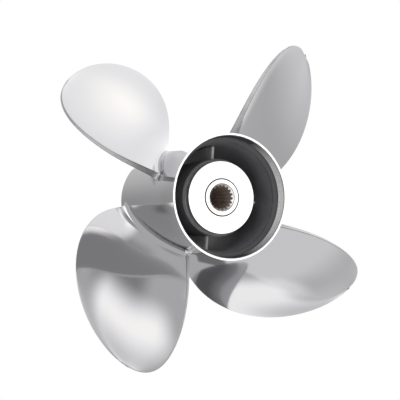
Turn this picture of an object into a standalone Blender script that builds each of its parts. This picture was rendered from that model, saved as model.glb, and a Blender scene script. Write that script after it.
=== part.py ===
"""Four-blade stainless boat propeller with exhaust through the hub.

The shaft runs along Y and the boat moves towards +Y, so the aft lip faces -Y.
A station is a distance in millimetres forward of the aft lip, and an angle
turns clockwise from +Z as seen from astern. The origin is the middle of the
forward thrust face, where the propeller is pushed against the shaft's washer.
"""
import math

import bmesh
import bpy

MM = 0.001
GAP = 0.3                      # air left between pieces that touch on the real one

# Overall sizes
TIP_RADIUS = 177.8             # a 14 inch propeller
THRUST_STATION = 150.0
TURN_STEPS = 72

# Barrel, the outer tube that carries the blades: it widens a little towards the front
BARREL_AFT_RADIUS = 56.0       # its taper carried on to the lip, without the flare
BARREL_FRONT_RADIUS = 59.1
BARREL_BORE = 52.7
BARREL_FRONT = 167.6
NOSE_ROUND = 1.6
RING_SPLIT = 36.0              # where the diffuser ring ends and the barrel starts

# Diffuser ring, the flare at the aft end
LIP_RADIUS = 59.4
LIP_INNER = 57.2
FLARE_START = 43.3
BAND_DEPTH = 10.4              # turned band just inside the lip
SHOULDER_END = 15.5            # where the shoulder behind the band meets the bore
FLARE_STEPS = 6
SHOULDER_STEPS = 4

# Inner hub, the tube with an aft end wall that holds the bushing
HUB_AFT = 21.8
HUB_FRONT = 146.0
HUB_FACE_RADIUS = 35.3
HUB_LAND = 7.0                 # length of the turned land behind the face
HUB_STEP = 1.5                 # length of the slope from the land up to the cast tube
HUB_RADIUS_AFT = 38.2
HUB_RADIUS_FRONT = 40.0
HUB_BORE = 32.5
END_WALL = 8.0
END_WALL_BORE = 18.5

# Ribs between the inner hub and the barrel
RIB_COUNT = 4
RIB_THICKNESS = 3.2
RIB_AFT = 49.0
RIB_FRONT = 142.0
RIB_EDGE = 1.0

# Rubber bushing and splined sleeve
BUSHING_AFT = 31.0
BUSHING_FRONT = 140.0
BUSHING_EDGE = 1.5
SLEEVE_RADIUS = 17.5
SLEEVE_AFT = 21.5
COLLAR_RADIUS = 20.5
COLLAR_LENGTH = 8.0
COLLAR_EDGE = 1.0
SPLINE_TEETH = 18
SPLINE_MAJOR = 12.3
SPLINE_MINOR = 10.9
LEAD_IN_RADIUS = 13.7          # mouth of the 45 degree cone that cuts the aft ends of the teeth
TOOTH_TIP_SHARE = 0.34         # share of a tooth's pitch at its tip
TOOTH_ROOT_SHARE = 0.62        # the same at its root
CUTTER_MARGIN = 5.0

# Blades, as functions of s = 0 at the root and 1 at the tip
BLADE_COUNT = 4
FIRST_BLADE = -40.2            # angle of the middle of blade 1's root
ROOT_STATION = 104.8           # station of the middle of the root
MID_ANGLE = (0.0, -7.5, -7.3, -6.6)
HALF_ANGLE = (29.4, 14.2, -29.7, 9.3)
TIP_POWER = 2.66
RAKE = (0.0, -69.3, 17.6)
PITCH = (589.5, -110.8, 122.8)
HOLLOW = (2.8, -0.4, -1.3)     # how far the middle of a section bends forward of its edges
HOLLOW_SKEW = (-3.0, 0.7, 3.2)
HOLLOW_PEAK = (0.45, 2.1, -1.0)
PEAK_SKEW = (2.15, -1.7)
HOLLOW_CHORD = 70.0            # half chord for which these are given
SWELLS = [(0.24, -5.9, -1.8), (0.096, -4.6, -2.5)]
EDGE_THICKNESS = (6.8, -4.2)   # trailing edge
BODY_THICKNESS = (10.3, -7.0, -0.5)
THICKEST = 0.5                 # place of the thickest point, from the leading edge
BACK_POWER = 0.4               # how full the back is towards the leading edge
ROOT_FILLET = 6.5
FILLET_ROWS = (0.0, 0.12, 0.45, 1.0)
SPAN_ROWS = 15
CHORD_STEPS = 16
CAP_STEPS = 5
LAST_ROW = 0.988


def polynomial(factors, s):
    return sum(factor * s**power for power, factor in enumerate(factors))


def clear_scene():
    for old in list(bpy.data.objects):
        bpy.data.objects.remove(old, do_unlink=True)


def make_collection(name):
    collection = bpy.data.collections.new(name)
    bpy.context.scene.collection.children.link(collection)
    return collection


def make_material(name, colour, roughness, metallic):
    material = bpy.data.materials.new(name)
    material.use_nodes = True
    shader = material.node_tree.nodes["Principled BSDF"]
    shader.inputs["Base Color"].default_value = (*colour, 1.0)
    shader.inputs["Roughness"].default_value = roughness
    shader.inputs["Metallic"].default_value = metallic
    return material


def add_object(name, mesh, collection, material):
    piece = bpy.data.objects.new(name, mesh)
    collection.objects.link(piece)
    mesh.materials.append(material)
    mesh.shade_smooth()
    mesh.set_sharp_from_angle(angle=math.radians(35.0))
    return piece


def along(station):
    """World Y, in metres, of a station."""
    return (station - THRUST_STATION) * MM


def turned(name, profile, collection, material):
    """Turn a closed profile of (radius, station) points, front to aft down its outer side."""
    mesh = bpy.data.meshes.new(name)
    points = [(radius * MM, 0.0, along(station)) for radius, station in profile]
    edges = [(i, (i + 1) % len(points)) for i in range(len(points))]
    mesh.from_pydata(points, edges, [])
    piece = add_object(name, mesh, collection, material)
    piece.rotation_euler = (-math.pi / 2.0, 0.0, 0.0)
    screw = piece.modifiers.new("Turn", "SCREW")
    screw.axis = "Z"
    screw.angle = 2.0 * math.pi
    screw.steps = TURN_STEPS
    screw.render_steps = TURN_STEPS
    screw.use_merge_vertices = True
    screw.merge_threshold = 0.00001
    screw.use_smooth_shade = True
    return piece


def arc(centre_radius, centre_station, size, start, end, steps):
    """Points of an arc in a profile: 0 degrees points outwards, 90 forward."""
    points = []
    for i in range(steps + 1):
        angle = math.radians(start + (end - start) * i / steps)
        points.append((centre_radius + size * math.cos(angle), centre_station + size * math.sin(angle)))
    return points


def barrel_radius(station):
    """Outside radius of the barrel and its flare."""
    radius = BARREL_AFT_RADIUS + (BARREL_FRONT_RADIUS - BARREL_AFT_RADIUS) * station / BARREL_FRONT
    if station < FLARE_START:
        radius += (LIP_RADIUS - BARREL_AFT_RADIUS) * (1.0 - station / FLARE_START) ** 2
    return radius


def barrel(collection, material):
    nose_station = BARREL_FRONT - NOSE_ROUND
    nose_radius = barrel_radius(nose_station)
    nose = arc(nose_radius - NOSE_ROUND, nose_station, NOSE_ROUND, 90.0, 0.0, 4)
    profile = nose + [
        (barrel_radius(FLARE_START), FLARE_START),
        (barrel_radius(RING_SPLIT), RING_SPLIT),
        (BARREL_BORE, RING_SPLIT),
        (BARREL_BORE, BARREL_FRONT),
    ]
    return turned("barrel", profile, collection, material)


def diffuser_ring(collection, material):
    """A flared ring with a turned band inside its lip and a rounded shoulder behind the band."""
    split = RING_SPLIT - GAP
    outer = [split * (1.0 - i / FLARE_STEPS) for i in range(FLARE_STEPS + 1)]
    profile = [(barrel_radius(station), station) for station in outer]
    profile += [(LIP_INNER, 0.0), (LIP_INNER, BAND_DEPTH)]
    for i in range(1, SHOULDER_STEPS + 1):
        share = i / SHOULDER_STEPS
        fall = math.sin(share * math.pi / 2.0) ** 2
        station = BAND_DEPTH + (SHOULDER_END - BAND_DEPTH) * share
        profile.append((LIP_INNER + (BARREL_BORE - LIP_INNER) * fall, station))
    profile.append((BARREL_BORE, split))
    return turned("diffuser_ring", profile, collection, material)


def inner_hub(collection, material):
    step = HUB_AFT + HUB_LAND
    profile = [
        (HUB_RADIUS_FRONT, HUB_FRONT),
        (HUB_RADIUS_AFT, step + HUB_STEP),
        (HUB_FACE_RADIUS, step),
        (HUB_FACE_RADIUS, HUB_AFT),
        (END_WALL_BORE, HUB_AFT),
        (END_WALL_BORE, HUB_AFT + END_WALL),
        (HUB_BORE, HUB_AFT + END_WALL),
        (HUB_BORE, HUB_FRONT),
    ]
    return turned("inner_hub", profile, collection, material)


def rib(index, collection, material):
    """A flat web that stands in the exhaust passage, with its edges eased."""
    name = f"rib_{index + 1}"
    inner = HUB_RADIUS_FRONT + GAP
    outer = BARREL_BORE - GAP - 0.1
    size = (RIB_THICKNESS * MM, (RIB_FRONT - RIB_AFT) * MM, (outer - inner) * MM)
    middle = (0.0, along((RIB_FRONT + RIB_AFT) / 2.0), (outer + inner) / 2.0 * MM)
    form = bmesh.new()
    bmesh.ops.create_cube(form, size=1.0)
    bmesh.ops.scale(form, vec=size, verts=form.verts)
    bmesh.ops.translate(form, vec=middle, verts=form.verts)
    # the inner edge follows the hub's draft, so that it stays close to the hub all the way aft
    slope = (HUB_RADIUS_FRONT - HUB_RADIUS_AFT) / (HUB_FRONT - HUB_AFT - HUB_LAND)
    for corner in form.verts:
        if corner.co.z < middle[2] and corner.co.y < middle[1]:
            corner.co.z -= slope * (RIB_FRONT - RIB_AFT) * MM
    mesh = bpy.data.meshes.new(name)
    form.to_mesh(mesh)
    form.free()
    piece = add_object(name, mesh, collection, material)
    piece.rotation_euler = (0.0, math.radians(360.0 / RIB_COUNT * index), 0.0)
    ease = piece.modifiers.new("Ease", "BEVEL")
    ease.width = RIB_EDGE * MM
    ease.segments = 2
    return piece


def rubber_bushing(collection, material):
    inner, outer = SLEEVE_RADIUS + GAP, HUB_BORE - GAP
    profile = [
        (outer - BUSHING_EDGE, BUSHING_FRONT),
        (outer, BUSHING_FRONT - BUSHING_EDGE),
        (outer, BUSHING_AFT),
        (inner, BUSHING_AFT),
        (inner, BUSHING_FRONT),
    ]
    return turned("rubber_bushing", profile, collection, material)


def spline_cutter(collection):
    """The spaces between the teeth, as one toothed bar that runs past both ends of the sleeve."""
    outline = bpy.data.curves.new("spline_outline", "CURVE")
    outline.dimensions = "2D"
    outline.fill_mode = "BOTH"
    length = THRUST_STATION - SLEEVE_AFT + 2.0 * CUTTER_MARGIN
    outline.extrude = length / 2.0 * MM
    step = 2.0 * math.pi / SPLINE_TEETH
    corners = []
    for tooth in range(SPLINE_TEETH):
        middle = (tooth + 0.5) * step
        for radius, offset in (
            (SPLINE_MINOR - 1.0, TOOTH_TIP_SHARE / 2.0),
            (SPLINE_MAJOR, TOOTH_ROOT_SHARE / 2.0),
            (SPLINE_MAJOR, 1.0 - TOOTH_ROOT_SHARE / 2.0),
            (SPLINE_MINOR - 1.0, 1.0 - TOOTH_TIP_SHARE / 2.0),
        ):
            angle = middle + offset * step
            corners.append((radius * math.cos(angle) * MM, radius * math.sin(angle) * MM))
    spline = outline.splines.new("POLY")
    spline.points.add(len(corners) - 1)
    for point, (x, y) in zip(spline.points, corners):
        point.co = (x, y, 0.0, 1.0)
    spline.use_cyclic_u = True
    guide = bpy.data.objects.new("spline_guide", outline)
    collection.objects.link(guide)
    guide.rotation_euler = (-math.pi / 2.0, 0.0, 0.0)
    guide.location = (0.0, along((THRUST_STATION + SLEEVE_AFT) / 2.0), 0.0)
    bpy.context.view_layer.update()
    ready = guide.evaluated_get(bpy.context.evaluated_depsgraph_get())
    mesh = bpy.data.meshes.new_from_object(ready)
    form = bmesh.new()
    form.from_mesh(mesh)
    bmesh.ops.remove_doubles(form, verts=form.verts, dist=0.000001)
    form.to_mesh(mesh)
    form.free()
    cutter = bpy.data.objects.new("spline_cutter", mesh)
    collection.objects.link(cutter)
    cutter.matrix_world = guide.matrix_world.copy()
    cutter.hide_render = True
    cutter.display_type = "WIRE"
    bpy.data.objects.remove(guide, do_unlink=True)
    return cutter


def spline_sleeve(collection, cutters, material):
    profile = [
        (COLLAR_RADIUS - COLLAR_EDGE, THRUST_STATION),
        (COLLAR_RADIUS, THRUST_STATION - COLLAR_EDGE),
        (COLLAR_RADIUS, THRUST_STATION - COLLAR_LENGTH),
        (SLEEVE_RADIUS, THRUST_STATION - COLLAR_LENGTH),
        (SLEEVE_RADIUS, SLEEVE_AFT),
        (LEAD_IN_RADIUS, SLEEVE_AFT),
        (SPLINE_MINOR, SLEEVE_AFT + LEAD_IN_RADIUS - SPLINE_MINOR),
        (SPLINE_MINOR, THRUST_STATION),
    ]
    piece = turned("spline_sleeve", profile, collection, material)
    cut = piece.modifiers.new("Spline", "BOOLEAN")
    cut.operation = "DIFFERENCE"
    cut.solver = "EXACT"
    cut.object = spline_cutter(cutters)
    return piece


def fillet_growth(height):
    """How far a section stands proud of the blade, this high above the barrel."""
    if height >= ROOT_FILLET:
        return 0.0
    return ROOT_FILLET - math.sqrt(ROOT_FILLET**2 - (ROOT_FILLET - height) ** 2)


def section_thickness(s, chord):
    """Thickness of a section: chord is -1 at the trailing edge and 1 at the leading edge."""
    body = polynomial(BODY_THICKNESS, s)
    edge = polynomial(EDGE_THICKNESS, s)
    back = (1.0 - chord) / 2.0
    if back < THICKEST:
        return body * max(0.0, 1.0 - (1.0 - back / THICKEST) ** 2) ** BACK_POWER
    fade = math.cos(math.pi / 2.0 * (back - THICKEST) / (1.0 - THICKEST)) ** 2
    return edge + (body - edge) * fade


def section_bend(s, chord, side, half_chord):
    """How far forward the section bends at a place along its chord, aft where it is negative."""
    arch = 1.0 - chord**2
    bend = polynomial(HOLLOW, s) + polynomial(HOLLOW_SKEW, s) * chord
    bend += (polynomial(HOLLOW_PEAK, s) + polynomial(PEAK_SKEW, s) * chord) * arch
    # near the root the pressure face alone swells aft, like a wide soft fillet
    for fade, swell, skew in SWELLS:
        bend += (1.0 - side) * (swell + skew * chord) * math.exp(-s / fade)
    return bend * arch * half_chord / HOLLOW_CHORD


def blade_point(height, chord, side, blade_angle):
    """A point of the blade: side 0 is the pressure face, which looks aft, and 1 the back.

    The height is above the barrel's skin at the root, and the tip keeps its radius.
    """
    growth = fillet_growth(height)
    radius = BARREL_AFT_RADIUS + GAP + height
    # the barrel widens forward, so the radius follows from the station and is found in a few passes
    for _ in range(5):
        s = (radius - BARREL_AFT_RADIUS) / (TIP_RADIUS - BARREL_AFT_RADIUS)
        half = polynomial(HALF_ANGLE, s) * math.sqrt(max(0.0, 1.0 - s**TIP_POWER))
        pitch = polynomial(PITCH, s)
        helix = math.atan2(pitch, 2.0 * math.pi * radius)
        half_chord = math.radians(half) * radius / math.cos(helix)
        angle = polynomial(MID_ANGLE, s) + half * chord * (half_chord + growth) / half_chord
        station = ROOT_STATION + polynomial(RAKE, s) + pitch * angle / 360.0
        station += section_bend(s, chord, side, half_chord)
        swell = growth * math.sqrt(max(0.0, 1.0 - abs(chord) ** 10))
        lift = side * (section_thickness(s, chord) + 2.0 * swell) - swell
        station += lift * math.cos(helix)
        angle -= math.degrees(lift * math.sin(helix) / radius)
        root = barrel_radius(station) + GAP
        radius = root + height * (TIP_RADIUS - root) / (TIP_RADIUS - BARREL_AFT_RADIUS - GAP)
    turn = math.radians(angle + blade_angle)
    return (radius * math.sin(turn) * MM, along(station), radius * math.cos(turn) * MM)


def chord_places():
    """Places along the chord from the trailing to the leading edge, closer together at both ends."""
    return [-math.cos(math.pi * i / CHORD_STEPS) for i in range(CHORD_STEPS + 1)]


def blade_heights():
    """Heights of the sections, closer together in the root fillet and at the tip."""
    span = TIP_RADIUS - BARREL_AFT_RADIUS - GAP
    heights = [ROOT_FILLET * row for row in FILLET_ROWS]
    first = math.asin(ROOT_FILLET / span) / (math.pi / 2.0)
    for i in range(1, SPAN_ROWS + 1):
        share = first + (LAST_ROW - first) * i / SPAN_ROWS
        heights.append(span * math.sin(share * math.pi / 2.0))
    return heights


def blade(index, collection, material):
    """Loft closed sections from the barrel to the tip and close both ends with strips."""
    name = f"blade_{index + 1}"
    blade_angle = FIRST_BLADE + 360.0 / BLADE_COUNT * index
    places = chord_places()
    form = bmesh.new()
    rings = []
    for height in blade_heights():
        face = [form.verts.new(blade_point(height, chord, 0.0, blade_angle)) for chord in places]
        back = [form.verts.new(blade_point(height, chord, 1.0, blade_angle)) for chord in places[-2::-1]]
        rings.append(face + back)
    count = len(rings[0])
    for lower, upper in zip(rings, rings[1:]):
        for i in range(count):
            j = (i + 1) % count
            form.faces.new((lower[i], lower[j], upper[j], upper[i]))
    close_end(form, rings[0], lambda chord, side: blade_point(0.0, chord, side, blade_angle), CAP_STEPS)
    close_end(form, rings[-1], None, 1)
    bmesh.ops.recalc_face_normals(form, faces=form.faces)
    mesh = bpy.data.meshes.new(name)
    form.to_mesh(mesh)
    form.free()
    return add_object(name, mesh, collection, material)


def join_columns(form, left, right):
    """Fill the strip between two rows of points, which may differ in number."""
    a = b = 0
    while a < len(left) - 1 or b < len(right) - 1:
        left_is_behind = (a + 1) * (len(right) - 1) <= (b + 1) * (len(left) - 1)
        if b == len(right) - 1 or (a < len(left) - 1 and left_is_behind):
            form.faces.new((left[a], left[a + 1], right[b]))
            a += 1
        else:
            form.faces.new((left[a], right[b + 1], right[b]))
            b += 1


def close_end(form, ring, place, steps):
    """Close a section with strips from its face to its back, so that the end follows the barrel."""
    places = chord_places()
    last = len(places) - 1
    columns = []
    for i, chord in enumerate(places):
        column = [ring[i]]
        if 0 < i < last:
            column += [form.verts.new(place(chord, step / steps)) for step in range(1, steps)]
        if i < last:
            column.append(ring[2 * last - i])
        columns.append(column)
    for left, right in zip(columns, columns[1:]):
        join_columns(form, left, right)


def main():
    clear_scene()
    parts = make_collection("boat_propeller")
    cutters = make_collection("cutters")
    polished = make_material("polished_stainless", (0.80, 0.80, 0.81), 0.12, 1.0)
    turned_steel = make_material("turned_stainless", (0.72, 0.72, 0.73), 0.28, 1.0)
    dark_cast = make_material("dark_cast_steel", (0.06, 0.06, 0.065), 0.45, 0.6)
    sleeve_steel = make_material("sleeve_steel", (0.62, 0.61, 0.59), 0.35, 1.0)
    rubber = make_material("rubber", (0.03, 0.03, 0.03), 0.75, 0.0)
    barrel(parts, polished)
    diffuser_ring(parts, polished)
    inner_hub(parts, turned_steel)
    for index in range(RIB_COUNT):
        rib(index, parts, dark_cast)
    for index in range(BLADE_COUNT):
        blade(index, parts, polished)
    rubber_bushing(parts, rubber)
    spline_sleeve(parts, cutters, sleeve_steel)


main()
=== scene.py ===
# %% [markdown]
# # A polished boat propeller
#
# The real object is one stainless steel casting: a barrel with four blades, a flared ring at its
# aft end, and an inner hub that stands on four ribs inside the barrel, so that the engine's
# exhaust passes between the two tubes. A splined sleeve in a rubber bushing takes the propeller
# shaft. Nearly all of its look comes from what the polished steel mirrors, so clean curved
# surfaces and the light around them matter more here than colour does.

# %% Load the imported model
import math

import bmesh
import bpy
import numpy as np
from mathutils import Matrix, Vector


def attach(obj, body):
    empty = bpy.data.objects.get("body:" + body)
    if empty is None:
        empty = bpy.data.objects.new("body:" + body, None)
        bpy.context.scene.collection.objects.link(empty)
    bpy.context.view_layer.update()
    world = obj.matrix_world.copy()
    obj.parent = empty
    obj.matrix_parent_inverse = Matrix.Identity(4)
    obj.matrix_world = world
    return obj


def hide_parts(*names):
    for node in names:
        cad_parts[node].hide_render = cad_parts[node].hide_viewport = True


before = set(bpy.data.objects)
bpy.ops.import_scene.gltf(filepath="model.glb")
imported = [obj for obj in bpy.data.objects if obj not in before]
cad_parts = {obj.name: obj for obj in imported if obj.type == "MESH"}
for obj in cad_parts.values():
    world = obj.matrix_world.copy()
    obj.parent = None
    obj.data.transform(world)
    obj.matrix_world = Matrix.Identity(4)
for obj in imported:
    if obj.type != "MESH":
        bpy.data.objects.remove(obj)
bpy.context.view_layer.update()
print("solids:", ", ".join(sorted(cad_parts)))

# %% [markdown]
# ## Measures
#
# The pieces below are worked out in millimetres, with `station` for the distance forward from
# the aft lip. The thrust face of the sleeve, where the frame has its origin, is at station 150.

# %% Sizes of the barrel and the flare
MM = 0.001
THRUST_STATION = 150.0
TIP_RADIUS = 177.8

BARREL_AFT_RADIUS = 56.0
BARREL_FRONT_RADIUS = 59.1
BARREL_FRONT = 167.6
BARREL_BORE = 52.7
LIP_RADIUS = 59.4
LIP_INNER = 57.2
FLARE_START = 43.3
BAND_DEPTH = 10.4
SHOULDER_END = 15.5


def barrel_radius(station):
    """Outside radius of the barrel and its flare, for one station or an array of them."""
    taper = BARREL_AFT_RADIUS + (BARREL_FRONT_RADIUS - BARREL_AFT_RADIUS) * station / BARREL_FRONT
    flare = np.clip(1.0 - station / FLARE_START, 0.0, 1.0) ** 2
    return taper + (LIP_RADIUS - BARREL_AFT_RADIUS) * flare


print("outside radius at the lip and at mid length:", barrel_radius(0.0), barrel_radius(80.0))

# %% [markdown]
# ## Finishing a piece
#
# Every piece ends the same way: its doubles are merged, its faces are turned outwards, and it is
# moved to its station and shrunk from millimetres to metres. It then gets its finishes, rides on
# the propeller's only body and takes the place of the plain solids.

# %% Helpers that turn a bmesh into a finished piece
MERGE_DISTANCE = 0.0005


def new_object(name, data):
    """An object with this mesh or camera, linked to the scene."""
    made = bpy.data.objects.new(name, data)
    bpy.context.scene.collection.objects.link(made)
    return made


def mesh_object(form, name, finishes):
    """An object from a bmesh, with the finishes in its material slots."""
    mesh = bpy.data.meshes.new(name)
    form.to_mesh(mesh)
    form.free()
    for finish in finishes:
        mesh.materials.append(finish)
    return new_object(name, mesh)


def finish_piece(form, name, finishes, replaced, sharp=35.0, turn=0.0):
    """Put a form in millimetres, with Y as the station, in place of the solids it replaces."""
    bmesh.ops.remove_doubles(form, verts=form.verts, dist=MERGE_DISTANCE)
    bmesh.ops.recalc_face_normals(form, faces=form.faces)
    place = Matrix.Scale(MM, 4) @ Matrix.Translation((0.0, -THRUST_STATION, 0.0))
    bmesh.ops.transform(form, matrix=Matrix.Rotation(turn, 4, "Y") @ place, verts=form.verts)
    piece = mesh_object(form, name, finishes)
    mesh = piece.data
    mesh.shade_smooth()
    mesh.set_sharp_from_angle(angle=math.radians(sharp))
    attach(piece, "root")
    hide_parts(*replaced)
    print(name, "has", sum(len(face.vertices) - 2 for face in mesh.polygons), "triangles")


# %% A helper for turned pieces
def turned(outline, steps=192):
    """Spin an outline of (radius, station, finish) points round the Y axis.

    A point's finish is the material slot of the edge that leads on from it.
    """
    form = bmesh.new()
    corners = [form.verts.new((radius, station, 0.0)) for radius, station, _ in outline]
    edges = []
    for corner, after in zip(corners, corners[1:] + corners[:1]):
        edges.append(form.edges.new((corner, after)))
    bmesh.ops.spin(
        form, geom=corners + edges, cent=(0.0, 0.0, 0.0), axis=(0.0, 1.0, 0.0),
        dvec=(0.0, 0.0, 0.0), angle=2.0 * math.pi, steps=steps, use_merge=True,
    )
    # a face takes the finish of the outline's edge that it was swept from
    middles = []
    for (r1, s1, slot), (r2, s2, _) in zip(outline, outline[1:] + outline[:1]):
        middles.append(((r1 + r2) / 2.0, (s1 + s2) / 2.0, slot))
    for face in form.faces:
        centre = face.calc_center_median()
        radius = math.hypot(centre.x, centre.z) / math.cos(math.pi / steps)
        nearest = min(middles, key=lambda m: (m[0] - radius) ** 2 + (m[1] - centre.y) ** 2)
        face.material_index = nearest[2]
    return form


# %% A helper for rounded corners in an outline
def rounded(corners, steps=4):
    """Round the corners of a closed outline; each is (radius, station, rounding, finish)."""
    outline = []
    for i, (r, s, size, finish) in enumerate(corners):
        here = Vector((r, s))
        if size <= 0.0:
            outline.append((r, s, finish))
            continue
        before = Vector(corners[i - 1][:2]) - here
        after = Vector(corners[(i + 1) % len(corners)][:2]) - here
        start, end = here + before.normalized() * size, here + after.normalized() * size
        for k in range(steps + 1):
            t = k / steps
            point = start * (1.0 - t) ** 2 + here * 2.0 * t * (1.0 - t) + end * t**2
            outline.append((point.x, point.y, finish))
    return outline


# %% [markdown]
# ## Finishes
#
# Polished steel is a metal with a low roughness. What makes it look real is that the polish
# isn't perfect: the buffing wheel leaves a faint waviness and short fine marks. One node group
# makes both, and each finish asks it for its own amount.

# %% Helpers for nodes
FLOAT, VECTOR = "NodeSocketFloat", "NodeSocketVector"


def feed(tree, place, value):
    """Link a socket to this input, or give the input a plain value."""
    if isinstance(value, bpy.types.NodeSocket):
        tree.links.new(value, place)
    else:
        place.default_value = value


def new_group(name, takes, gives):
    """A node group with these sockets, as (the group, what it takes, what it gives)."""
    group = bpy.data.node_groups.new(name, "ShaderNodeTree")
    for direction, sockets in (("INPUT", takes), ("OUTPUT", gives)):
        for label, kind in sockets.items():
            group.interface.new_socket(name=label, socket_type=kind, in_out=direction)
    taken = group.nodes.new("NodeGroupInput").outputs
    given = group.nodes.new("NodeGroupOutput").inputs
    return group, taken, given


def group_node(tree, group, values):
    """A node of this group, with values for its inputs by name."""
    node = tree.nodes.new("ShaderNodeGroup")
    node.node_tree = group
    for name, value in values.items():
        feed(tree, node.inputs[name], value)
    return node


def math_node(tree, operation, *values):
    """A Math node whose inputs are sockets or plain numbers."""
    node = tree.nodes.new("ShaderNodeMath")
    node.operation = operation
    for place, value in zip(node.inputs, values):
        feed(tree, place, value)
    return node.outputs[0]


def mixed_colour(tree, share, first, second):
    """From the first colour at share 0 to the second at share 1."""
    node = tree.nodes.new("ShaderNodeMix")
    node.data_type = "RGBA"
    for name, value in (("Factor", share), ("A", first), ("B", second)):
        feed(tree, node.inputs[name], value)
    return node.outputs["Result"]


def ramp(tree, value, start, end):
    """0 up to the start, 1 from the end on, and a straight rise between them."""
    node = tree.nodes.new("ShaderNodeMapRange")
    for name, given in (("Value", value), ("From Min", start), ("From Max", end)):
        feed(tree, node.inputs[name], given)
    return node.outputs["Result"]


def object_place(tree):
    """The place on the object, in metres."""
    return tree.nodes.new("ShaderNodeTexCoord").outputs["Object"]


def split_vector(tree, vector):
    node = tree.nodes.new("ShaderNodeSeparateXYZ")
    tree.links.new(vector, node.inputs["Vector"])
    return node.outputs


def noise_node(tree, vector, scale, detail, stretch=None):
    """A noise texture, with its vector stretched first where a stretch is given."""
    if stretch is not None:
        mapping = tree.nodes.new("ShaderNodeMapping")
        mapping.inputs["Scale"].default_value = stretch
        tree.links.new(vector, mapping.inputs["Vector"])
        vector = mapping.outputs["Vector"]
    noise = tree.nodes.new("ShaderNodeTexNoise")
    for name, value in (("Vector", vector), ("Scale", scale), ("Detail", detail)):
        feed(tree, noise.inputs[name], value)
    return noise.outputs["Fac"]


# %% The polishing marks, as a node group
MARK_DEPTH = 0.02


def polish_group():
    """Height and roughness of a buffed surface."""
    group, taken, given = new_group(
        "Buffed steel",
        {"Roughness": FLOAT, "Unevenness": FLOAT, "Waviness": FLOAT},
        {"Roughness": FLOAT, "Height": FLOAT},
    )
    place = object_place(group)
    wave = noise_node(group, place, scale=28.0, detail=2.0)
    marks = noise_node(group, place, scale=900.0, detail=3.0)
    streaks = noise_node(group, place, scale=160.0, detail=4.0, stretch=(1.0, 0.12, 1.0))
    spread = math_node(group, "MULTIPLY_ADD", streaks, taken["Unevenness"], taken["Roughness"])
    height = math_node(group, "MULTIPLY", wave, taken["Waviness"])
    height = math_node(group, "MULTIPLY_ADD", marks, MARK_DEPTH, height)
    feed(group, given["Roughness"], spread)
    feed(group, given["Height"], height)
    return group


BUFFED = polish_group()


# %% Making a finish
def new_finish(name, colour, metallic=1.0):
    finish = bpy.data.materials.new(name)
    finish.use_nodes = True
    shader = finish.node_tree.nodes["Principled BSDF"]
    shader.inputs["Base Color"].default_value = (*colour, 1.0)
    shader.inputs["Metallic"].default_value = metallic
    return finish, finish.node_tree, shader


def add_bump(tree, shader, height, strength, distance):
    bump = tree.nodes.new("ShaderNodeBump")
    for name, value in (("Strength", strength), ("Distance", distance), ("Height", height)):
        feed(tree, bump.inputs[name], value)
    tree.links.new(bump.outputs["Normal"], shader.inputs["Normal"])


def polished_finish(name, colour, roughness, unevenness, waviness, strength):
    finish, tree, shader = new_finish(name, colour)
    buffed = group_node(tree, BUFFED, {
        "Roughness": roughness, "Unevenness": unevenness, "Waviness": waviness,
    })
    tree.links.new(buffed.outputs["Roughness"], shader.inputs["Roughness"])
    add_bump(tree, shader, buffed.outputs["Height"], strength, distance=0.0006)
    return finish


polished = polished_finish(
    "Polished stainless", (0.500, 0.496, 0.510),
    roughness=0.06, unevenness=0.04, waviness=1.0, strength=0.03,
)
lip_polish = polished_finish(
    "Polished lip", (0.97, 0.97, 0.97),
    roughness=0.30, unevenness=0.05, waviness=0.5, strength=0.05,
)


# %% Turned steel: fine rings round the axis
def turned_finish(name, colour, roughness, unevenness, strength):
    finish, tree, shader = new_finish(name, colour)
    place = object_place(tree)
    split = split_vector(tree, place)
    square = math_node(tree, "MULTIPLY", split["X"], split["X"])
    square = math_node(tree, "MULTIPLY_ADD", split["Z"], split["Z"], square)
    rings = tree.nodes.new("ShaderNodeCombineXYZ")
    feed(tree, rings.inputs["X"], math_node(tree, "SQRT", square))
    feed(tree, rings.inputs["Y"], split["Y"])
    grooves = noise_node(tree, rings.outputs["Vector"], scale=2600.0, detail=2.0)
    uneven = noise_node(tree, place, scale=90.0, detail=3.0)
    spread = math_node(tree, "MULTIPLY_ADD", uneven, unevenness, roughness)
    tree.links.new(spread, shader.inputs["Roughness"])
    add_bump(tree, shader, grooves, strength, distance=0.0001)
    return finish


face_steel = turned_finish(
    "Turned hub face", (0.95, 0.95, 0.95), roughness=0.26, unevenness=0.12, strength=0.1,
)


# %% Cast, moulded and ground surfaces: a fine grain, with blotches in colour and roughness
BLOTCH_ROUGHNESS, BLOTCH_COLOUR = 0.15, 0.3


def cast_finish(name, colour, roughness, metallic, grain, strength):
    """A grainy surface; grain is the scale of its lumps and strength their height."""
    finish, tree, shader = new_finish(name, colour, metallic)
    place = object_place(tree)
    lumps = noise_node(tree, place, scale=grain, detail=4.0)
    blotches = noise_node(tree, place, scale=60.0, detail=3.0)
    spread = math_node(tree, "MULTIPLY_ADD", blotches, BLOTCH_ROUGHNESS, roughness)
    tree.links.new(spread, shader.inputs["Roughness"])
    darker = (*[part * (1.0 - BLOTCH_COLOUR) for part in colour], 1.0)
    lighter = (*[part * (1.0 + BLOTCH_COLOUR) for part in colour], 1.0)
    shade = mixed_colour(tree, blotches, darker, lighter)
    tree.links.new(shade, shader.inputs["Base Color"])
    add_bump(tree, shader, lumps, strength, distance=0.0003)
    return finish


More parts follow.
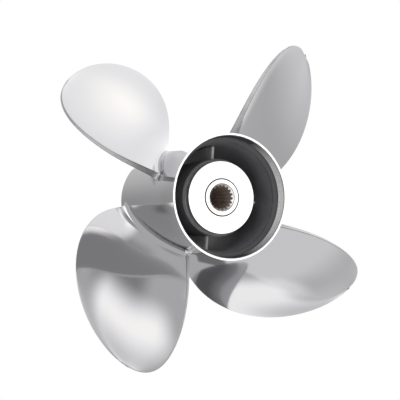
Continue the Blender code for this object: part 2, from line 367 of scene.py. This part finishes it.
dark_cast = cast_finish(
    "Dark cast passage", (0.155, 0.155, 0.17),
    roughness=0.42, metallic=0.15, grain=500.0, strength=0.35,
)
# painted shade: the same cast wall as the passage, made darker because the shoulder lies in shadow
shoulder_in_painted_shade = cast_finish(
    "Cast shoulder in painted shade", (0.06, 0.06, 0.065),
    roughness=0.42, metallic=0.15, grain=500.0, strength=0.35,
)
hub_cast = cast_finish(
    "Cast hub tube", (0.20, 0.20, 0.208),
    roughness=0.5, metallic=0.15, grain=500.0, strength=0.35,
)
rib_cast = cast_finish(
    "Cast rib", (0.74, 0.74, 0.74),
    roughness=0.5, metallic=0.1, grain=600.0, strength=0.4,
)
rubber = cast_finish(
    "Moulded rubber", (0.018, 0.018, 0.018),
    roughness=0.6, metallic=0.0, grain=900.0, strength=0.2,
)
spline_steel = cast_finish(
    "Oiled spline", (0.52, 0.44, 0.39),
    roughness=0.42, metallic=0.6, grain=700.0, strength=0.2,
)
# painted shade: a thin dark strip laid where an edge shows as a dark line
edge_shade = cast_finish(
    "Painted shade line", (0.10, 0.095, 0.09),
    roughness=0.5, metallic=0.3, grain=700.0, strength=0.1,
)
blunt_edge = cast_finish(
    "Ground blunt edge", (0.56, 0.56, 0.565),
    roughness=0.36, metallic=1.0, grain=260.0, strength=0.3,
)
edge_corner = cast_finish(
    "Eased edge corner", (0.33, 0.33, 0.335),
    roughness=0.30, metallic=1.0, grain=260.0, strength=0.1,
)

# %% A turned band, painted light on one side and painted shade on the other
# where the painted light on the band starts and where it is full, in metres along X, and how
# ragged its edge is
LIT_SIDE_STARTS, LIT_SIDE_FULL = 0.026, 0.064
LIT_EDGE_RAGGEDNESS = 0.012


def painted_light_band_finish():
    """Tool marks, painted light on the +X side and near-black painted shade on the rest."""
    finish, tree, shader = new_finish("Turned band with painted side light", (0.8, 0.8, 0.8), 0.0)
    place = object_place(tree)
    marks = noise_node(tree, place, scale=420.0, detail=2.0, stretch=(1.0, 1.0, 4.0))
    across = split_vector(tree, place)["X"]
    edge = math_node(tree, "MULTIPLY_ADD", marks, LIT_EDGE_RAGGEDNESS, across)
    # painted light: a ragged ramp up along X, towards the side that the lamp lights
    painted_lit_side = ramp(tree, edge, LIT_SIDE_STARTS, LIT_SIDE_FULL)
    bright = mixed_colour(tree, marks, (0.45, 0.45, 0.45, 1.0), (1.0, 1.0, 1.0, 1.0))
    # the near-black colour is painted shade and the bright tool marks are painted light
    colour = mixed_colour(tree, painted_lit_side, (0.02, 0.02, 0.022, 1.0), bright)
    tree.links.new(colour, shader.inputs["Base Color"])
    shader.inputs["Roughness"].default_value = 0.5
    add_bump(tree, shader, marks, strength=0.3, distance=0.0003)
    return finish


band_with_painted_light = painted_light_band_finish()

# %% [markdown]
# ## Barrel and flare
#
# On the real propeller the barrel and the flared ring are one wall, with no seam to see. So one
# outline goes once round the wall, and `bmesh.ops.spin` turns it about the Y axis. The outline
# also says which finish each stretch has: polished outside, a machined band inside the lip with
# painted light on one side and painted shade on the other, a thin painted shade line at the lip's
# inner corner, a shoulder behind the band in painted shade, and the dark cast passage further in.

# %% The outline of the barrel's wall
# the shoulder's slot is painted shade, and the last slot is a thin painted shade line
POLISH, LIP, BAND, SHADE, DARK, LIP_SHADE_LINE = range(6)
NOSE_START = 160.0
LIP_START = 0.9
BAND_SLOPE = 0.6


def outside_point(station):
    return float(barrel_radius(station)), float(station), POLISH


outside = [outside_point(s) for s in np.linspace(NOSE_START, FLARE_START, 12)]
# the flare bends most near the lip, so its stations stand closer together there
flare_stations = FLARE_START * (1.0 - np.linspace(0.0, 1.0, 22)[1:-1]) ** 1.3
outside += [outside_point(s) for s in flare_stations if s > LIP_START]

lip_corners = rounded([
    (float(barrel_radius(LIP_START)), LIP_START, 0.0, POLISH),
    (LIP_RADIUS, 0.0, 0.45, LIP),
    (LIP_INNER + 0.5, 0.0, 0.3, LIP),
    # a thin painted shade line at the lip's inner corner
    (LIP_INNER - 0.1, 1.0, 0.3, LIP_SHADE_LINE),
    (LIP_INNER, BAND_DEPTH, 0.0, BAND),
])[1:-1]
band = [
    (LIP_INNER, 1.4, BAND),
    (LIP_INNER - 0.2, BAND_DEPTH - 0.7, BAND),
    (LIP_INNER - BAND_SLOPE, BAND_DEPTH, SHADE),
]
shoulder = []
for share in np.linspace(0.0, 1.0, 14)[1:]:
    fall = math.sin(share * math.pi / 2.0) ** 2
    radius = LIP_INNER - BAND_SLOPE + (BARREL_BORE - LIP_INNER + BAND_SLOPE) * fall
    station = BAND_DEPTH + 0.1 + (SHOULDER_END - BAND_DEPTH) * share
    shoulder.append((radius, station, SHADE))
bore = [(BARREL_BORE, s, DARK) for s in (SHOULDER_END + 0.2, 40.0, 80.0, 120.0)]
nose = rounded([
    (BARREL_BORE, NOSE_START, 0.0, DARK),
    (BARREL_BORE, BARREL_FRONT, 0.8, LIP),
    (BARREL_FRONT_RADIUS, BARREL_FRONT, 1.8, POLISH),
    (float(barrel_radius(160.5)), 160.5, 0.0, POLISH),
], steps=6)
finish_piece(
    turned(outside + lip_corners + band + shoulder + bore + nose[:-1]), "barrel_shell",
    [polished, lip_polish, band_with_painted_light, shoulder_in_painted_shade, dark_cast, edge_shade],
    ["barrel", "diffuser_ring"],
)

# %% [markdown]
# ## Inner hub
#
# The inner hub is a cast tube whose aft end was faced on a lathe. That gives it a bright flat
# end wall with rounded edges, a short turned land behind it, and then a step up to the rough
# cast tube.

# %% Turn the inner hub
HUB_AFT, HUB_FRONT = 21.8, 146.0
HUB_FACE_RADIUS, HUB_BORE = 35.3, 32.5
HUB_RADIUS_AFT, HUB_RADIUS_FRONT = 38.2, 40.0
LAND_END, STEP_END = HUB_AFT + 7.0, HUB_AFT + 7.0 + 1.5
END_WALL, END_WALL_BORE = 8.0, 18.5
FACE, CAST = range(2)
hub_outline = rounded([
    (HUB_RADIUS_FRONT, HUB_FRONT, 1.5, CAST),
    (HUB_RADIUS_AFT, STEP_END, 0.9, CAST),
    (HUB_FACE_RADIUS, LAND_END, 0.5, FACE),
    (HUB_FACE_RADIUS, HUB_AFT, 0.5, FACE),
    (END_WALL_BORE, HUB_AFT, 0.2, CAST),
    (END_WALL_BORE, HUB_AFT + END_WALL, 0.5, CAST),
    (HUB_BORE, HUB_AFT + END_WALL, 1.0, CAST),
    (HUB_BORE, HUB_FRONT, 0.8, FACE),
])
finish_piece(
    turned(hub_outline), "inner_hub_tube", [face_steel, hub_cast],
    ["inner_hub"],
)

# %% [markdown]
# ## Ribs
#
# Four cast webs hold the hub in the barrel. Each is a long block with rounded ends, whose foot
# and head reach into the two tubes.

# %% Build one rib and turn it to its four places
RIB_THICKNESS, RIB_AFT, RIB_FRONT = 3.2, 49.0, 142.0
RIB_FOOT, RIB_HEAD = HUB_RADIUS_AFT, BARREL_BORE + 0.6
RIB_ROUNDING = 1.4
PARALLEL = 0.1


def runs_outwards(edge):
    """Whether an edge runs from the rib's foot to its head."""
    along = edge.verts[0].co - edge.verts[1].co
    return abs(along.x) < PARALLEL and abs(along.y) < PARALLEL


for index in range(4):
    form = bmesh.new()
    bmesh.ops.create_cube(form, size=1.0)
    size = (RIB_THICKNESS, RIB_FRONT - RIB_AFT, RIB_HEAD - RIB_FOOT)
    middle = (0.0, (RIB_FRONT + RIB_AFT) / 2.0, (RIB_HEAD + RIB_FOOT) / 2.0)
    bmesh.ops.scale(form, vec=size, verts=form.verts)
    bmesh.ops.translate(form, vec=middle, verts=form.verts)
    bmesh.ops.bevel(
        form, geom=[edge for edge in form.edges if runs_outwards(edge)], offset=RIB_ROUNDING,
        offset_type="OFFSET", affect="EDGES", segments=5, profile=0.5, material=-1,
    )
    finish_piece(
        form, f"rib_web_{index + 1}", [rib_cast], [f"rib_{index + 1}"],
        turn=math.radians(90.0 * index),
    )

# %% [markdown]
# ## Rubber bushing
#
# The bushing is moulded rubber, pressed into the hub. From aft it is behind the end wall, so that
# only a thin dark gap shows round the sleeve. From the front it shows as a dished face.

# %% Turn the bushing
BUSHING_AFT = 31.0
BUSHING_RADIUS, BUSHING_BORE = HUB_BORE - 0.05, 17.6
bushing_outline = rounded([
    (BUSHING_RADIUS, 139.0, 1.5, 0),
    (BUSHING_RADIUS, BUSHING_AFT, 1.0, 0),
    (BUSHING_BORE, BUSHING_AFT, 0.8, 0),
    (BUSHING_BORE, 139.5, 1.0, 0),
    (21.0, 139.8, 1.5, 0),
    (25.5, 137.5, 2.0, 0),
    (29.0, 140.0, 1.5, 0),
], steps=5)
finish_piece(
    turned(bushing_outline, 128), "bushing", [rubber], ["rubber_bushing"],
)

# %% [markdown]
# ## Splined sleeve
#
# The sleeve has 18 spline teeth inside. It is made of closed rings with the same number of
# points, which go once round its wall: the teeth's outline where a cone cuts them, the bright aft
# face, the outer wall, the collar, the front face, and the teeth's outline again. Each ring is
# bridged to the next one, and the last one to the first.

# %% Shape the teeth's outline
SLEEVE_RADIUS, SLEEVE_AFT = 17.5, 21.5
TEETH, POINTS_PER_TOOTH, TOOTH_PHASE = 18, 12, 0.5
SPLINE_MAJOR, SPLINE_MINOR, LEAD_IN_RADIUS = 12.3, 10.9, 13.7
# half of a tooth at its tip and at its root, as shares of the distance between two teeth
TOOTH_TIP, TOOTH_ROOT = 0.12, 0.27


def tooth_radius(share):
    """Radius of the bore at this number of teeth round from the X axis."""
    share = share + TOOTH_PHASE
    distance = abs(share - round(share))
    rise = (distance - TOOTH_TIP) / (TOOTH_ROOT - TOOTH_TIP)
    return SPLINE_MINOR + (SPLINE_MAJOR - SPLINE_MINOR) * min(1.0, max(0.0, rise))


def ring_of(form, radius_at, station):
    """A closed ring of edges round the axis."""
    count = TEETH * POINTS_PER_TOOTH
    made = bmesh.ops.create_circle(form, cap_ends=False, segments=count, radius=1.0)
    for vert in made["verts"]:
        angle = math.atan2(vert.co.y, vert.co.x)
        radius = radius_at(angle / (2.0 * math.pi) * TEETH)
        vert.co = (radius * math.cos(angle), station, radius * math.sin(angle))
    return list({edge for vert in made["verts"] for edge in vert.link_edges})


def round_ring(form, radius, station):
    return ring_of(form, lambda share: radius, station)


def bore_ring(form, station, opening=0.0):
    return ring_of(form, lambda share: tooth_radius(share) + opening, station)


def lead_in_ring(form):
    """The rim where a 45 degree cone cuts the teeth, so that its station follows their radius."""
    edges = bore_ring(form, 0.0)
    for vert in {vert for edge in edges for vert in edge.verts}:
        radius = math.hypot(vert.co.x, vert.co.z)
        vert.co.y = SLEEVE_AFT + LEAD_IN_RADIUS - radius
    return edges


# %% Build the sleeve from rings
COLLAR_RADIUS, COLLAR_AFT = 20.5, 142.0
# width of the painted shade line at the rim of the lead-in
SHADE_LINE_WIDTH = 0.5
AFT_BREAK, COLLAR_BREAK, THRUST_BREAK, BORE_BREAK = 0.2, 0.4, 0.8, 0.35
BRIGHT, OILED, SHADE_LINE = range(3)
form = bmesh.new()
# each ring comes with the finish of the wall that leads to it from the ring before
rings = [
    (lead_in_ring(form), OILED),
    (round_ring(form, LEAD_IN_RADIUS - SHADE_LINE_WIDTH, SLEEVE_AFT + SHADE_LINE_WIDTH), BRIGHT),
    # a thin painted shade line round the rim of the lead-in
    (round_ring(form, LEAD_IN_RADIUS, SLEEVE_AFT), SHADE_LINE),
    (round_ring(form, SLEEVE_RADIUS - AFT_BREAK, SLEEVE_AFT), BRIGHT),
    (round_ring(form, SLEEVE_RADIUS, SLEEVE_AFT + AFT_BREAK), OILED),
    (round_ring(form, SLEEVE_RADIUS, COLLAR_AFT), OILED),
    (round_ring(form, COLLAR_RADIUS - COLLAR_BREAK, COLLAR_AFT), BRIGHT),
    (round_ring(form, COLLAR_RADIUS, COLLAR_AFT + COLLAR_BREAK), BRIGHT),
    (round_ring(form, COLLAR_RADIUS, THRUST_STATION - THRUST_BREAK), BRIGHT),
    (round_ring(form, COLLAR_RADIUS - THRUST_BREAK, THRUST_STATION), BRIGHT),
    (bore_ring(form, THRUST_STATION, BORE_BREAK), BRIGHT),
    (bore_ring(form, THRUST_STATION - BORE_BREAK), OILED),
]
for (ring, _), (following, finish) in zip(rings, rings[1:] + rings[:1]):
    made = bmesh.ops.bridge_loops(form, edges=ring + following)
    for face in made["faces"]:
        face.material_index = finish
finish_piece(
    form, "splined_sleeve", [face_steel, spline_steel, edge_shade],
    ["spline_sleeve"], sharp=25.0,
)

# %% [markdown]
# ## Blades
#
# A blade is a stack of sections. Each one is wrapped on a cylinder round the axis and climbs along
# a helix, with its angle set by the pitch. The pressure face looks aft and is slightly hollow. The
# trailing edge is blunt with small rounded corners, and the leading edge is thin and round. At the
# root the sections swell outwards along a quarter circle, which is the cast fillet.
#
# The mesh starts as one flat grid. Its columns become the places round a section and its rows the
# heights above the barrel, and every vertex is moved to its place on the blade.

# %% The blade's measures, most of them as factors of s = 0 at the root and 1 at the tip
# where the middle of the sections stands: degrees, and millimetres of station and of pitch
FIRST_BLADE = -40.2
MID_ANGLE = (0.0, -7.5, -7.3, -6.6)
ROOT_STATION = 104.8
RAKE = (0.0, -69.3, 17.6)
PITCH = (589.5, -110.8, 122.8)
# half the width in degrees, closed to a round tip
HALF_ANGLE = (29.4, 14.2, -29.7, 9.3)
TIP_POWER = 2.66
# how hollow the section is for a half chord of HOLLOW_CHORD
HOLLOW = (2.8, -0.4, -1.3)
HOLLOW_SKEW = (-3.0, 0.7, 3.2)
HOLLOW_PEAK = (0.45, 2.1, -1.0)
PEAK_SKEW = (2.15, -1.7)
HOLLOW_CHORD = 70.0
# swells of the pressure face at the root: how far up they reach, their size and their skew
SWELLS = [(0.24, -5.9, -1.8), (0.096, -4.6, -2.5)]
# thickness of the blunt edge and of the body, and the back's shape towards the nose
EDGE_THICKNESS = (6.8, -4.2)
BODY_THICKNESS = (10.3, -7.0, -0.5)
LEAST_BODY = 1.5
THICKEST = 0.5
BACK_POWER = 0.4
TIP_CLOSING = 0.010
# roundings
ROOT_FILLET = 6.5
CORNER_ROUNDING = 0.7
NOSE_ROUNDING = 0.8
MOST_ROUNDING = 0.25
# the span from the barrel to the tips, and how little still counts as a length
SPAN = TIP_RADIUS - BARREL_AFT_RADIUS
TINY = 1e-9


def polynomial(factors, s):
    return sum(factor * s**power for power, factor in enumerate(factors))


# %% Places round a section: trailing corner, face, nose, back, trailing corner and blunt edge
CORNER_STEPS, NOSE_STEPS, CHORD_STEPS, EDGE_STEPS = 5, 7, 64, 4
EVENNESS = 0.4
PRESSURE, BACK, BLUNT = range(3)
CORNER, CHORD, NOSE = range(3)


def section_places():
    """For every place its side, the kind of stretch, the turn in a rounding, and the share."""
    corner = np.linspace(0.0, math.pi / 2.0, CORNER_STEPS + 1)
    # the shares along the chord are evenly spaced in part, and in part closer near the edges
    share = (1.0 - np.cos(np.linspace(0.0, math.pi, CHORD_STEPS + 1))) / 2.0
    share = (1.0 - EVENNESS) * share + EVENNESS * np.linspace(0.0, 1.0, CHORD_STEPS + 1)
    nose = np.linspace(math.pi / 2.0, 0.0, NOSE_STEPS + 1)
    one_side = [(CORNER, angle, 0.0) for angle in corner]
    one_side += [(CHORD, 0.0, value) for value in share[1:-1]]
    one_side += [(NOSE, angle, 0.0) for angle in nose]
    places = [(PRESSURE, *place) for place in one_side]
    places += [(BACK, *place) for place in one_side[-2::-1]]
    edge = np.linspace(1.0, 0.0, EDGE_STEPS + 1)[1:]
    places += [(BLUNT, CHORD, 0.0, value) for value in edge]
    return np.array(places).T


SIDE, KIND, TURN, SHARE = section_places()
COLUMNS = len(SIDE) - 1
print("points round a section:", COLUMNS)


# %% A section, unrolled flat
def hollow_of(s, place, half_chord):
    """How far forward the section bends at a place from -1, trailing, to 1, leading."""
    arch = 1.0 - place**2
    bend = polynomial(HOLLOW, s) + polynomial(HOLLOW_SKEW, s) * place
    bend = bend + (polynomial(HOLLOW_PEAK, s) + polynomial(PEAK_SKEW, s) * place) * arch
    # near the root the pressure face alone swells aft, like a wide soft fillet
    for reach, swell, skew in SWELLS:
        swelling = (swell + skew * place) * np.exp(-np.maximum(s, 0.0) / reach)
        bend = bend + np.where(SIDE == PRESSURE, swelling, 0.0)
    return bend * arch * half_chord / HOLLOW_CHORD


def thickness_of(s, nose, nose_share):
    """Thickness at this share of the chord from the nose, where it starts as the nose's."""
    body = np.maximum(polynomial(BODY_THICKNESS, s), LEAST_BODY)
    edge = polynomial(EDGE_THICKNESS, s)
    growing = np.clip(1.0 - (1.0 - nose_share / THICKEST) ** 2, 0.0, 1.0) ** BACK_POWER
    past = np.clip((nose_share - THICKEST) / (1.0 - THICKEST), 0.0, 1.0)
    fading = np.cos(past * math.pi / 2.0) ** 2
    return np.where(
        nose_share < THICKEST, nose + (body - nose) * growing, edge + (body - edge) * fading
    )


def section(s, half_chord):
    """Points of a closed section at the height s, which may differ from point to point.

    They come as arrays: the place along the chord and across it, the middle of the thickness,
    and how far the section bends forward.
    """
    chord = 2.0 * half_chord
    corner = np.minimum(CORNER_ROUNDING, MOST_ROUNDING * half_chord)
    nose = np.minimum(NOSE_ROUNDING, MOST_ROUNDING * half_chord)
    edge = polynomial(EDGE_THICKNESS, s)
    # distance from the trailing edge: a rounded corner, the face, and the rounded nose
    from_edge = corner * (1.0 - np.cos(TURN))
    from_nose = nose * (1.0 - np.cos(TURN))
    middle = corner + (chord - corner - nose) * SHARE
    along = np.where(KIND == CORNER, from_edge, np.where(KIND == CHORD, middle, chord - from_nose))
    # height above the face's plane, which only the roundings leave
    corner_lift = np.where(KIND == CORNER, corner * (1.0 - np.sin(TURN)), 0.0)
    lift = np.where(KIND == NOSE, nose * (1.0 - np.sin(TURN)), corner_lift)
    nose_share = np.clip((chord - along) / np.maximum(chord, TINY), 0.0, 1.0)
    thickness = thickness_of(s, nose, nose_share)
    across = np.where(SIDE == PRESSURE, lift, thickness - corner_lift)
    across = np.where(SIDE == BLUNT, corner + (edge - 2.0 * corner) * SHARE, across)
    along = np.where(SIDE == BLUNT, 0.0, along)
    # the very tip closes to its middle along a quarter circle
    to_tip = np.clip((1.0 - s) / TIP_CLOSING, 0.0, 1.0)
    mean = thickness / 2.0
    across = mean + (across - mean) * np.sqrt(to_tip * (2.0 - to_tip))
    x = along - half_chord
    hollow = hollow_of(s, x / np.maximum(half_chord, TINY), half_chord)
    return x, across, mean, hollow


# %% Heights above the barrel, closer together in the fillet and at the tip
FILLET_STEPS, SPAN_STEPS = 12, 84
ROOT_DEPTH, ROOT_MIDDLE = -0.8, -0.3


def blade_rows():
    """(height, growth, how far the section is closed) of each row, from inside the barrel."""
    rows = [
        (ROOT_DEPTH, ROOT_FILLET, 1.0),
        (ROOT_DEPTH, ROOT_FILLET, 0.0),
        (ROOT_MIDDLE, ROOT_FILLET, 0.0),
    ]
    for angle in np.linspace(0.0, math.pi / 2.0, FILLET_STEPS):
        height, growth = 1.0 - math.cos(angle), 1.0 - math.sin(angle)
        rows.append((ROOT_FILLET * height, ROOT_FILLET * growth, 0.0))
    first = math.asin(ROOT_FILLET / SPAN)
    for angle in np.linspace(first, math.pi / 2.0, SPAN_STEPS)[1:]:
        rows.append((SPAN * math.sin(angle), 0.0, 0.0))
    return rows


ROWS = blade_rows()
FILLET_ROWS = sum(1 for _, growth, _ in ROWS if growth > 0.01)


# %% Put a row of the blade in space
RADIUS_PASSES = 5


def grown(x, across, growth):
    """The section's points, moved outwards by the growth, square to its outline."""
    step_x = np.roll(x, -1) - np.roll(x, 1)
    step_across = np.roll(across, -1) - np.roll(across, 1)
    # the last point lies on the first, so both take the step past their neighbours
    step_x[0] = step_x[-1] = x[1] - x[-2]
    step_across[0] = step_across[-1] = across[1] - across[-2]
    length = np.maximum(np.hypot(step_x, step_across), TINY)
    return x + growth * step_across / length, across - growth * step_x / length


def blade_row(height, growth, closed, blade_angle):
    """Points of one row, which follows the barrel at the root and keeps its radius at the tip."""
    radius = np.full(len(SIDE), BARREL_AFT_RADIUS + height)
    # a point's radius depends on its station and the other way round, so a few passes settle them
    for _ in range(RADIUS_PASSES):
        s = np.clip((radius - BARREL_AFT_RADIUS) / SPAN, -0.05, 1.0)
        narrowing = np.sqrt(np.maximum(0.0, 1.0 - np.maximum(s, 0.0) ** TIP_POWER))
        half_angle = np.radians(polynomial(HALF_ANGLE, s) * narrowing)
        pitch = polynomial(PITCH, s)
        helix = np.arctan2(pitch, 2.0 * math.pi * radius)
        half_chord = half_angle * radius / np.cos(helix)
        x, across, mean, hollow = section(s, half_chord)
        across, hollow = across * (1.0 - closed) + mean * closed, hollow * (1.0 - closed)
        if growth > 0.0 and closed == 0.0:
            x, across = grown(x, across, growth)
        arc = x * np.cos(helix) - across * np.sin(helix)
        station = ROOT_STATION + polynomial(RAKE, s) + pitch * polynomial(MID_ANGLE, s) / 360.0
        station = station + x * np.sin(helix) + across * np.cos(helix) + hollow
        angle = polynomial(MID_ANGLE, s) + np.degrees(arc / radius)
        root = barrel_radius(station)
        radius = root + height * (TIP_RADIUS - root) / SPAN
    turn = np.radians(angle + blade_angle)
    return np.stack([radius * np.sin(turn), station, radius * np.cos(turn)], axis=1)


# %% Bend a grid into each blade
MIRRORED, GROUND, EASED = range(3)


def column_finish(column):
    """The blunt edge is ground, its two corners are eased, and the rest is polished."""
    if column > COLUMNS - EDGE_STEPS:
        return GROUND
    if column < CORNER_STEPS or column > COLUMNS - EDGE_STEPS - CORNER_STEPS:
        return EASED
    return MIRRORED


for index in range(4):
    blade_angle = FIRST_BLADE + 90.0 * index
    surface = [blade_row(*row, blade_angle) for row in ROWS]
    last_row = len(ROWS) - 1
    form = bmesh.new()
    bmesh.ops.create_grid(form, x_segments=COLUMNS, y_segments=last_row, size=1.0)
    for face in form.faces:
        grid_place = (face.calc_center_median() + Vector((1.0, 1.0, 0.0))) / 2.0
        if grid_place.y * last_row > FILLET_ROWS:
            face.material_index = column_finish(grid_place.x * COLUMNS)
    for vert in form.verts:
        column = round((vert.co.x + 1.0) / 2.0 * COLUMNS)
        row = round((vert.co.y + 1.0) / 2.0 * last_row)
        vert.co = surface[row][column]
    finish_piece(
        form, f"polished_blade_{index + 1}", [polished, blunt_edge, edge_corner],
        [f"blade_{index + 1}"],
    )

# %% [markdown]
# ## Camera
#
# The propeller stands with its axis level and is seen from aft and from port. The camera's place
# was worked out together with the object's shape, and a long lens keeps the perspective mild.

# %% Place the camera
LENS, SENSOR = 47.35, 36.0
# where the camera stands and which way its back points, as azimuth and elevation
STAND, BACKWARDS = (-28.0, -2.19), (-24.44, -1.82)
CAMERA_DISTANCE = 0.4896
# the camera and its place are turned together about the propeller's axis
PHOTO_TURN = math.radians(4.16)


def facing(azimuth, elevation):
    """The directions right, up and back of a camera at this azimuth and elevation."""
    a, e = math.radians(azimuth), math.radians(elevation)
    back = Vector((math.sin(a) * math.cos(e), -math.cos(a) * math.cos(e), math.sin(e)))
    right = Vector((math.cos(a), math.sin(a), 0.0))
    return right, back.cross(right), back


camera_data = bpy.data.cameras.new("Camera")
camera_data.sensor_width = SENSOR
camera_data.lens = LENS
camera_data.clip_start, camera_data.clip_end = 0.01, 50.0
camera = new_object("Camera", camera_data)
bpy.context.scene.camera = camera
lip_centre = Matrix.Translation((0.0, -THRUST_STATION * MM, 0.0))
axis_turn = Matrix.Rotation(-PHOTO_TURN, 4, "Y")
stand = Matrix.Translation(facing(*STAND)[2] * CAMERA_DISTANCE)
aim = Matrix(facing(*BACKWARDS)).transposed().to_4x4()
camera.matrix_world = lip_centre @ axis_turn @ stand @ aim
print("camera at", [round(value, 3) for value in camera.matrix_world.translation])

# %% [markdown]
# ## Light
#
# Polished steel has no look of its own: it shows the room. A product studio is a pale room with a
# few large soft lamps in it, and the blades show those lamps as soft white patches. The world here
# is such a room: an even grey, and on it soft-edged panels that add light or take it away. A panel
# is seen in a direction, as a rectangle on a plane that faces the object, so a node group makes
# one from that direction and its half width and height.

# %% A soft panel, as a node group
GRAZING = 0.02


def dot_product(tree, first, second):
    node = tree.nodes.new("ShaderNodeVectorMath")
    node.operation = "DOT_PRODUCT"
    tree.links.new(first, node.inputs[0])
    tree.links.new(second, node.inputs[1])
    return node.outputs["Value"]


def soft_edged(tree, value, half, soft):
    """1 inside the half size and 0 outside, with a soft edge."""
    node = tree.nodes.new("ShaderNodeMapRange")
    node.interpolation_type = "SMOOTHSTEP"
    feed(tree, node.inputs["Value"], math_node(tree, "ABSOLUTE", value))
    feed(tree, node.inputs["From Min"], math_node(tree, "SUBTRACT", half, soft))
    feed(tree, node.inputs["From Max"], math_node(tree, "ADD", half, soft))
    node.inputs["To Min"].default_value = 1.0
    node.inputs["To Max"].default_value = 0.0
    return node.outputs["Result"]


def panel_group():
    """The light of one panel in the direction that a ray goes."""
    vectors = ("Direction", "Towards", "Across", "Up")
    floats = ("Half width", "Half height", "Softness", "Strength")
    takes = {**dict.fromkeys(vectors, VECTOR), **dict.fromkeys(floats, FLOAT)}
    group, taken, given = new_group("Soft panel", takes, {"Light": FLOAT})
    ahead = dot_product(group, taken["Direction"], taken["Towards"])
    mask = math_node(group, "GREATER_THAN", ahead, GRAZING)
    distance = math_node(group, "MAXIMUM", ahead, GRAZING)
    for axis, half in (("Across", "Half width"), ("Up", "Half height")):
        place = dot_product(group, taken["Direction"], taken[axis])
        place = math_node(group, "DIVIDE", place, distance)
        inside = soft_edged(group, place, taken[half], taken["Softness"])
        mask = math_node(group, "MULTIPLY", mask, inside)
    feed(group, given["Light"], math_node(group, "MULTIPLY", mask, taken["Strength"]))
    return group


PANEL = panel_group()

# %% The studio as a world
ROOM_LIGHT, LEAST_LIGHT = 0.73, 0.02
world = bpy.data.worlds.new("Studio")
bpy.context.scene.world = world
world.use_nodes = True
studio_tree = world.node_tree
direction = studio_tree.nodes.new("ShaderNodeTexCoord").outputs["Generated"]
lights = [ROOM_LIGHT]


def add_panel(name, azimuth, elevation, roll, size, soft, strength):
    """A panel in this direction; size is its half width and half height at distance 1."""
    right, up, towards = facing(azimuth, elevation)
    turn = math.radians(roll)
    panel = group_node(studio_tree, PANEL, {
        "Direction": direction,
        "Towards": towards,
        "Across": right * math.cos(turn) - up * math.sin(turn),
        "Up": right * math.sin(turn) + up * math.cos(turn),
        "Half width": size[0],
        "Half height": size[1],
        "Softness": soft,
        "Strength": strength,
    })
    panel.label = name
    lights.append(math_node(studio_tree, "ADD", panel.outputs["Light"], lights[-1]))


# %% The lamps, and the dark places of the room as panels that take light away
add_panel("lamp over the camera", -16, 59, roll=-29, size=(0.30, 0.11), soft=0.10, strength=1.07)
add_panel(
    "tall lamp beside the camera", -56, 10, roll=-27, size=(0.17, 0.73), soft=0.11, strength=0.89,
)
add_panel("bright right wall", 113, 39, roll=-17, size=(1.72, 1.05), soft=0.16, strength=0.63)
add_panel("lamp at the right wall", 97, 25, roll=-3, size=(0.21, 0.18), soft=0.20, strength=0.53)
add_panel("lit floor", -78, -89, roll=20, size=(0.54, 2.09), soft=0.15, strength=0.36)
add_panel("wide low lamp in front", 27, -10, roll=-9, size=(1.14, 0.33), soft=0.78, strength=1.42)
add_panel(
    "lamp above and behind", -159, 63, roll=-126, size=(0.34, 0.02), soft=0.14, strength=2.44,
)
add_panel(
    "dark corner at the left", -113, -44, roll=-32, size=(1.04, 0.26), soft=0.02, strength=-0.46,
)
add_panel("dark ceiling", -13, 77, roll=-24, size=(0.25, 0.24), soft=0.10, strength=-0.36)
add_panel("dark low background", -180, -3, roll=11, size=(0.49, 0.26), soft=0.19, strength=-0.30)
add_panel("glow under the lamp", -38, -26, roll=19, size=(0.08, 0.08), soft=0.06, strength=0.51)

# %% Join the panels into the background, with the lamps a little warmer than the room
WARM_FROM, WARM_FULLY = 1.45, 1.90
NEUTRAL, WARM = (1.0, 1.0, 1.0, 1.0), (1.02, 1.0, 0.955, 1.0)
total = math_node(studio_tree, "MAXIMUM", lights[-1], LEAST_LIGHT)
studio = studio_tree.nodes["Background"]
warmth = ramp(studio_tree, total, WARM_FROM, WARM_FULLY)
feed(studio_tree, studio.inputs["Color"], mixed_colour(studio_tree, warmth, NEUTRAL, WARM))
feed(studio_tree, studio.inputs["Strength"], total)
print("panels in the room:", len(lights) - 1)

# %% [markdown]
# ## Background
#
# The photograph's ground is plain white. The camera therefore sees white wherever it misses the
# object, and every other ray sees the studio. Well below the object there is a floor of the same
# white. It gives off its own light and is clear from below, and it isn't mirrored and casts no
# shadow, so it only shows to a camera that looks down on it.


# %% Show the camera a white ground
def shader_choice(tree, chooser, first, second, output):
    """The first shader where the chooser is 0 and the second where it is 1."""
    choice = tree.nodes.new("ShaderNodeMixShader")
    for place, shader in zip(choice.inputs, (chooser, first, second)):
        tree.links.new(shader, place)
    tree.links.new(choice.outputs["Shader"], tree.nodes[output].inputs["Surface"])


ground = studio_tree.nodes.new("ShaderNodeBackground")
ground.inputs["Color"].default_value = (1.0, 1.0, 1.0, 1.0)
path = studio_tree.nodes.new("ShaderNodeLightPath")
shader_choice(
    studio_tree, path.outputs["Is Camera Ray"], studio.outputs["Background"],
    ground.outputs["Background"], "World Output",
)
bpy.context.scene.view_settings.view_transform = "Standard"

# %% The floor, white like the ground and seen only from above
FLOOR_HALF_WIDTH, FLOOR_HEIGHT = 1.5, -0.45
floor_finish = bpy.data.materials.new("White ground")
floor_finish.use_nodes = True
floor_tree = floor_finish.node_tree
glow = floor_tree.nodes.new("ShaderNodeEmission")
clear = floor_tree.nodes.new("ShaderNodeBsdfTransparent")
geometry = floor_tree.nodes.new("ShaderNodeNewGeometry")
shader_choice(
    floor_tree, geometry.outputs["Backfacing"], glow.outputs["Emission"],
    clear.outputs["BSDF"], "Material Output",
)
form = bmesh.new()
bmesh.ops.create_grid(form, x_segments=1, y_segments=1, size=FLOOR_HALF_WIDTH)
bmesh.ops.translate(form, vec=(0.0, 0.0, FLOOR_HEIGHT), verts=form.verts)
floor = mesh_object(form, "floor", [floor_finish])
floor.visible_glossy = floor.visible_diffuse = floor.visible_shadow = False
